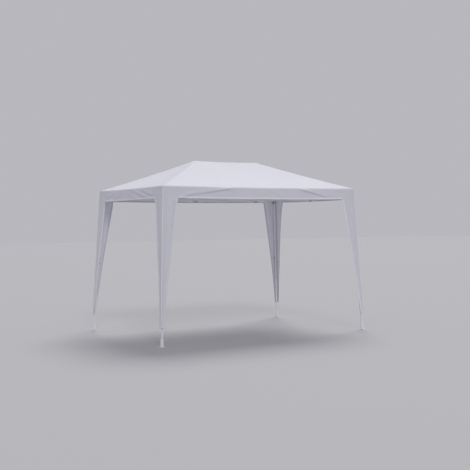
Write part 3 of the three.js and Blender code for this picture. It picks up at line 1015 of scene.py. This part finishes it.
                patches.append(self._strip(seam, np.linspace(0.004, s.full_drop, 130), self.seam_width * 0.7))
            half = s.half(side)
            run = np.linspace(-half, half, round(2 * half / self.trim_pitch))
            patches.append(self._strip(
                lambda a, w, side=side: s.wall(side, a, w + 0.002), run, self.seam_width * 0.8))
        return self._sew("corner_seams", patches, self.finishes.hem)


# ---- Frame hardware -----------------------------------------------------------------------


class Layer(Enum):
    """Which side of its truss a scissor bar runs on."""

    OUTER = "outer"
    INNER = "inner"


@dataclass(frozen=True)
class Pivot:
    """A scissor bolt: its place, its direction, how far it reaches, and the body it belongs to."""

    body: str
    place: Vector
    axis: Vector
    low: float
    high: float


@dataclass
class ScissorLayout:
    """Where the frame's scissor pivots and bar ends are, worked out from the fold geometry.

    The shank and fork sizes say how far a bolt reaches along its axis, in millimetres.
    """

    arm: float = 0.470
    open_angle: float = math.radians(6)
    lean: float = math.radians(3)
    long_reach: float = 0.0827
    short_reach: float = 0.040
    short_shift: float = 0.008
    mid_reach: float = 0.0354
    king_reach: float = 0.028
    middle_play: float = 0.0012
    top_height: float = 1.965
    shank_out: float = 11.6
    shank_in: float = -12.5
    shank_in_short: float = -11.5
    fork_outer: tuple[float, float] = (-4.3, 16.3)
    fork_inner: tuple[float, float] = (-16.3, 4.3)
    pivots: list[Pivot] = field(default_factory=list)
    ends: dict[str, list[tuple[Vector, Vector, Vector]]] = field(default_factory=dict)

    def __post_init__(self) -> None:
        """Lays out the four sides and the middle truss."""
        self.in_plane = math.atan(math.sin(self.lean))
        end_module = self.arm * (math.cos(self.open_angle + self.in_plane) + math.cos(self.open_angle))
        middle = 2 * self.arm * math.cos(self.open_angle)
        self.half_long = end_module + middle / 2 + self.long_reach
        self.half_short = end_module + self.short_reach
        for side in Side:
            self._side(side)
        self._middle()

    def _side(self, side: Side) -> None:
        """Lays out one perimeter truss."""
        half = self.half_long if side.is_long else self.half_short
        distance = self.half_short if side.is_long else self.half_long + self.short_shift
        turn = Matrix.Rotation(side.value * math.pi / 2, 3, "Z")
        origin = turn @ Vector((-half, -distance, 0)) + Vector((0, 0, self.top_height))
        tilt = turn @ Matrix.Rotation(math.pi / 2 - self.lean, 3, "X")
        corners = [corner.label for corner in Corner]
        start, end = corners[side.value], corners[(side.value + 1) % 4]
        reach = self.long_reach if side.is_long else self.short_reach
        count = 3 if side.is_long else 2
        node = self.shank_in if side.is_long else self.shank_in_short
        self._truss(side.name.lower(), origin, tilt, Vector((reach, 0)), count, self.in_plane, 0.0, node,
                    {"start": f"{start}_slider_body", "end": f"{end}_leg"})

    def _middle(self) -> None:
        """Lays out the truss under the ridge."""
        fall = self.arm * (math.sin(self.open_angle + self.in_plane) - math.sin(self.open_angle))
        start_x = -(self.half_long + self.short_shift + fall * math.sin(self.lean) - self.mid_reach)
        start = Vector((start_x, self.top_height - fall * math.cos(self.lean)))
        upright = Matrix.Rotation(math.pi / 2, 3, "X")
        self._truss("middle", Vector((0, 0, 0)), upright, start, 3, self.lean, 2 * self.king_reach, None,
                    {"start": "left_mid_lower", "end": "right_mid_upper"})

    def _truss(self, name: str, origin: Vector, turn: Matrix, upper_left: Vector, count: int,
               rise: float, gap: float, node_low: float | None, forks: dict[str, str]) -> None:
        """Adds a truss's bolts and bar ends.

        Args:
            name: The truss's name in the bars' node names.
            origin: The truss frame's origin.
            turn: The truss frame's turn.
            upper_left: The first module's upper left pivot, in the truss frame.
            count: How many modules.
            rise: The bend of the end bars at their middle pivot.
            gap: The space between modules, where a king post stands.
            node_low: Where the bolts between two modules end, or None if forks hold them.
            forks: The bodies whose forks hold the lower first and upper last bolts.
        """
        axis = turn @ Vector((0, 0, 1))

        def place(point: Vector) -> Vector:
            """A truss point in the row frame."""
            return origin + turn @ Vector((point.x, point.y, 0))

        def reach(point: Vector, angle: float) -> Vector:
            """The point one arm away at an angle above the horizontal."""
            return point + self.arm * Vector((math.cos(angle), math.sin(angle)))

        fork_outer, fork_inner = self.fork_outer, self.fork_inner
        between = (node_low, self.shank_out)
        for i in range(count):
            left = rise if i == 0 else 0.0
            right = rise if i == count - 1 else 0.0
            slack = Vector((self.middle_play if gap and i == 1 else 0.0, 0))
            middle = reach(upper_left, -self.open_angle - left)
            lower_left = reach(middle, math.pi + self.open_angle - left)
            upper_right = reach(middle, self.open_angle + right)
            lower_right = reach(middle, -self.open_angle + right)
            outer = f"{name}_bar_{i + 1}_{Layer.OUTER.value}"
            inner = f"{name}_bar_{i + 1}_{Layer.INNER.value}"
            self.ends[outer] = [(place(p), (place(p) - place(middle)).normalized(), axis)
                                for p in (upper_left, lower_right)]
            self.ends[inner] = [(place(p), (place(p) - place(middle)).normalized(), axis)
                                for p in (lower_left, upper_right)]
            in_fork_left = i == 0 or node_low is None
            in_fork_right = i == count - 1 or node_low is None
            self._bolt(outer, place(middle), axis, (self.shank_in, self.shank_out))
            self._bolt(outer, place(upper_left), axis, fork_outer if in_fork_left else between)
            self._bolt(outer, place(lower_right), axis, fork_outer if in_fork_right else between)
            lower_kings = ("left_king_lower", "right_king_lower")
            if i == 0:
                self._bolt(forks["start"], place(lower_left), axis, fork_inner)
            elif node_low is None:
                self._bolt(lower_kings[i - 1], place(lower_left), axis, fork_inner)
            if i == count - 1:
                self._bolt(forks["end"], place(upper_right), axis, fork_inner)
            elif node_low is None:
                self._bolt(("left_king", "right_king")[i], place(upper_right + slack), axis, fork_inner)
            upper_left = upper_right + slack + Vector((gap, 0))

    def _bolt(self, body: str, place: Vector, axis: Vector, reach: tuple[float, float]) -> None:
        """Records a bolt by its body, place and reach in millimetres."""
        self.pivots.append(Pivot(body, place, axis, reach[0] * MM, reach[1] * MM))


@dataclass
class Hardware:
    """Bolts, nuts, end plugs and foot sockets of the frame."""

    layout: ScissorLayout
    finishes: Finishes
    head_radius: float = 6.2 * MM
    head_height: float = 3.0 * MM
    washer_radius: float = 7.4 * MM
    washer_thick: float = 0.9 * MM
    nut_radius: float = 5.4 * MM
    nut_height: float = 4.2 * MM
    shank_proud: float = 0.8 * MM
    round_sides: int = 20
    plug_proud: float = 2.0 * MM
    stub_length: float = 0.006
    bore_slack: float = 2.6 * MM
    bar_height: float = 0.020
    bar_layer: tuple[float, float] = (1.0 * MM, 11.0 * MM)
    bar_overhang: float = 0.010
    socket_width: float = 0.0312
    socket_height: float = 0.096
    socket_foot: float = 0.0055

    def build(self) -> None:
        """Makes the bolts of each body, the end plugs of each bar and the socket on each foot."""
        by_body: dict[str, list[Pivot]] = {}
        for pivot in self.layout.pivots:
            by_body.setdefault(pivot.body, []).append(pivot)
        for body, pivots in by_body.items():
            work = bmesh.new()
            for pivot in pivots:
                self._bolt(work, pivot)
            obj = object_from(f"{body}_bolts", work, self.finishes.zinc)
            add_bevel(obj, 0.35 * MM)
            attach(obj, body)
        for bar, ends in self.layout.ends.items():
            self._plugs(bar, ends)
        for side, corner in zip(Side, Corner):
            self._socket(side, corner)
        log.info("hardware: %d bolts, %d bars with plugs", len(self.layout.pivots), len(self.layout.ends))

    def _bolt(self, work: bmesh.types.BMesh, pivot: Pivot) -> None:
        """Adds a domed head with its washer outside, and a lock nut with its washer inside."""
        turn = pivot.axis.to_track_quat("Z", "Y").to_matrix().to_4x4()
        at = Matrix.Translation(pivot.place) @ turn
        outer, inner = pivot.high - self.shank_proud, pivot.low + self.shank_proud
        self._disc(work, at, self.washer_radius, outer, outer + self.washer_thick, self.round_sides)
        dome = [(1.0, 0.0), (0.97, 0.35), (0.82, 0.7), (0.5, 0.94), (0.0, 1.0)]
        self._lathe(work, at, [(r * self.head_radius, outer + self.washer_thick + h * self.head_height)
                               for r, h in dome], self.round_sides)
        self._disc(work, at, self.washer_radius, inner - self.washer_thick, inner, self.round_sides)
        nut_top = inner - self.washer_thick
        self._disc(work, at, self.nut_radius, nut_top - self.nut_height, nut_top, 6)
        self._disc(work, at, self.nut_radius * 0.72, nut_top - self.nut_height - 1.2 * MM,
                   nut_top - self.nut_height, 16)

    def _disc(self, work: bmesh.types.BMesh, at: Matrix, radius: float, low: float, high: float,
              sides: int) -> None:
        """Adds a flat-ended disc or prism along the bolt."""
        middle = Matrix.Translation((0, 0, (low + high) / 2))
        bmesh.ops.create_cone(work, cap_ends=True, segments=sides, radius1=radius, radius2=radius,
                              depth=high - low, matrix=at @ middle)

    def _lathe(self, work: bmesh.types.BMesh, at: Matrix, profile: list[tuple[float, float]],
               sides: int) -> None:
        """Adds a closed round form with a flat base from a profile of radius and height."""
        rings = []
        for radius, height in profile[:-1]:
            angles = [2 * math.pi * i / sides for i in range(sides)]
            rings.append([work.verts.new(at @ Vector((radius * math.cos(a), radius * math.sin(a), height)))
                          for a in angles])
        tip = work.verts.new(at @ Vector((0, 0, profile[-1][1])))
        for low, high in zip(rings, rings[1:]):
            for i in range(sides):
                j = (i + 1) % sides
                work.faces.new((low[i], low[j], high[j], high[i]))
        for i in range(sides):
            work.faces.new((rings[-1][i], rings[-1][(i + 1) % sides], tip))
        work.faces.new(list(reversed(rings[0])))

    def _block(self, work: bmesh.types.BMesh, at: Matrix, centre: tuple[float, float, float],
               size: tuple[float, float, float]) -> None:
        """Adds a box by its centre and its size."""
        placed = at @ Matrix.Translation(centre)
        bmesh.ops.create_cube(work, size=1.0, matrix=placed @ Matrix.Diagonal((*size, 1)))

    def _socket(self, side: Side, corner: Corner) -> None:
        """Makes the ribbed plastic socket that holds a leg to its foot plate."""
        layout = self.layout
        sx, sy = corner.signs
        tangent = math.tan(layout.lean)
        foot = Vector((sx * (layout.half_long + layout.top_height * tangent),
                       sy * (layout.half_short + layout.top_height * tangent), 0))
        turn = Matrix.Rotation(side.value * math.pi / 2, 4, "Z")
        turn = turn @ Matrix.Rotation(-layout.lean, 4, "X") @ Matrix.Rotation(layout.in_plane, 4, "Y")
        at = Matrix.Translation(foot) @ turn
        work = bmesh.new()
        body = (self.socket_foot, self.socket_height, self.socket_width)
        skirt = (self.socket_foot, self.socket_foot + 0.012, self.socket_width + 4 * MM)
        lip = (self.socket_height - 0.010, self.socket_height, self.socket_width + 2 * MM)
        for low, high, width in (body, skirt, lip):
            self._block(work, at, (0, 0, (low + high) / 2), (width, width, high - low))
        obj = object_from(f"{corner.label}_foot_socket", work, self.finishes.socket)
        add_bevel(obj, 1.6 * MM, 3)
        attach(obj, f"{corner.label}_inner_leg")

    def _plugs(self, bar: str, ends: list[tuple[Vector, Vector, Vector]]) -> None:
        """Makes the moulded plugs that close both ends of a bar."""
        work = bmesh.new()
        low, high = self.bar_layer
        if bar.endswith(Layer.INNER.value):
            low, high = -high, -low
        for place, outward, axis in ends:
            across = axis.cross(outward)
            basis = Matrix((outward, across, axis)).transposed().to_4x4()
            at = Matrix.Translation(place) @ basis
            middle = (low + high) / 2
            self._block(work, at, (self.bar_overhang + self.plug_proud / 2, 0, middle),
                        (self.plug_proud, self.bar_height, high - low))
            self._block(work, at, (self.bar_overhang - self.stub_length / 2, 0, middle),
                        (self.stub_length, self.bar_height - self.bore_slack, high - low - self.bore_slack))
        obj = object_from(f"{bar}_plugs", work, self.finishes.plug)
        add_bevel(obj, 0.8 * MM)
        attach(obj, bar)


def dress_frame(frame: dict, finishes: Finishes) -> None:
    """Gives every CAD part that stays its finish and softly rounded edges."""
    by_slot = {
        "coated_steel": finishes.steel,
        "bracket_plastic": finishes.nylon,
        "lock_plastic": finishes.knob,
    }
    slots = {row["node"]: row["material_slot"] for row in frame["record"]["subparts"]}
    for name, node in frame["nodes"].items():
        finish = by_slot.get(slots.get(name))
        if finish is None:
            continue
        node.data.materials.clear()
        node.data.materials.append(finish)
        add_bevel(node, 0.7 * MM)
    log.info("frame: %d CAD parts dressed", len(frame["nodes"]))


# ---- Studio -------------------------------------------------------------------------------


@dataclass
class Studio:
    """Camera, floor and soft light."""

    camera_place: tuple[float, float, float] = (-6.505, -10.844, 1.513)
    yaw: float = 0.55
    pitch: float = -0.013
    roll: float = -0.009
    lens: float = 68.0
    floor_colour: tuple[float, float, float] = (0.445, 0.445, 0.455)
    sky_colour: tuple[float, float, float] = (0.48, 0.475, 0.515)
    sun_from: tuple[float, float, float] = (0.40, 0.45, 0.80)
    sun_strength: float = 1.7
    sun_spread: float = math.radians(28)
    fill_from: tuple[float, float, float] = (-0.30, -0.85, 0.62)
    fill_strength: float = 0.62
    fill_spread: float = math.radians(16)

    def build(self) -> None:
        """Makes the whole studio."""
        self._camera()
        self._floor()
        self._lights()
        bpy.context.scene.view_settings.view_transform = "Standard"

    def _camera(self) -> None:
        """A long lens at eye height, off the front left corner."""
        forward = Vector((math.sin(self.yaw) * math.cos(self.pitch),
                          math.cos(self.yaw) * math.cos(self.pitch), math.sin(self.pitch)))
        level = Vector((math.cos(self.yaw), -math.sin(self.yaw), 0))
        upright = level.cross(forward)
        right = math.cos(self.roll) * level + math.sin(self.roll) * upright
        up = -math.sin(self.roll) * level + math.cos(self.roll) * upright
        data = bpy.data.cameras.new("camera")
        data.lens = self.lens
        data.sensor_width = 36.0
        camera = bpy.data.objects.new("camera", data)
        turn = Matrix((right, up, -forward)).transposed().to_4x4()
        camera.matrix_world = Matrix.Translation(self.camera_place) @ turn
        bpy.context.scene.collection.objects.link(camera)
        bpy.context.scene.camera = camera

    def _floor(self) -> None:
        """A wide plain floor."""
        surface = Surface("studio_floor", 0.9)
        grain = surface.sheet.noise(surface.position, 40.0, 3.0)
        darker = tuple(0.97 * c for c in self.floor_colour)
        surface.drive("Base Color", surface.tint(grain, self.floor_colour, darker))
        reach = 60.0
        corners = [(-reach, -reach, 0), (reach, -reach, 0), (reach, reach, 0), (-reach, reach, 0)]
        floor = mesh_object("studio_floor", np.array(corners, float), [(0, 1, 2, 3)], surface.close())

    def _lights(self) -> None:
        """A bright overcast sky, a soft high sun from behind the right, and a low fill from the front."""
        world = bpy.data.worlds.new("studio_sky")
        world.use_nodes = True
        background = world.node_tree.nodes["Background"]
        background.inputs[0].default_value = (*self.sky_colour, 1)
        background.inputs[1].default_value = 1.0
        bpy.context.scene.world = world
        self._sun("sun", self.sun_from, self.sun_strength, self.sun_spread)
        self._sun("fill", self.fill_from, self.fill_strength, self.fill_spread)

    def _sun(self, name: str, source: tuple[float, float, float], strength: float, spread: float) -> None:
        """A far light that shines from a direction, with soft edges to its shadows."""
        data = bpy.data.lights.new(name, "SUN")
        data.energy = strength
        data.angle = spread
        light = bpy.data.objects.new(name, data)
        light.rotation_mode = "QUATERNION"
        light.rotation_quaternion = Vector(source).to_track_quat("Z", "Y")
        bpy.context.scene.collection.objects.link(light)


def main() -> None:
    """Builds the gazebo's looks around its frame."""
    logging.basicConfig(level=logging.INFO, format="%(name)s: %(message)s")
    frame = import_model()
    Studio().build()
    finishes = Finishes()
    dress_frame(frame, finishes)
    shape = CanopyShape()
    follower = FoldFollower(frame, shape)
    Canopy(shape, follower, finishes).build()
    Hardware(ScissorLayout(), finishes).build()


if __name__ == "__main__":
    main()
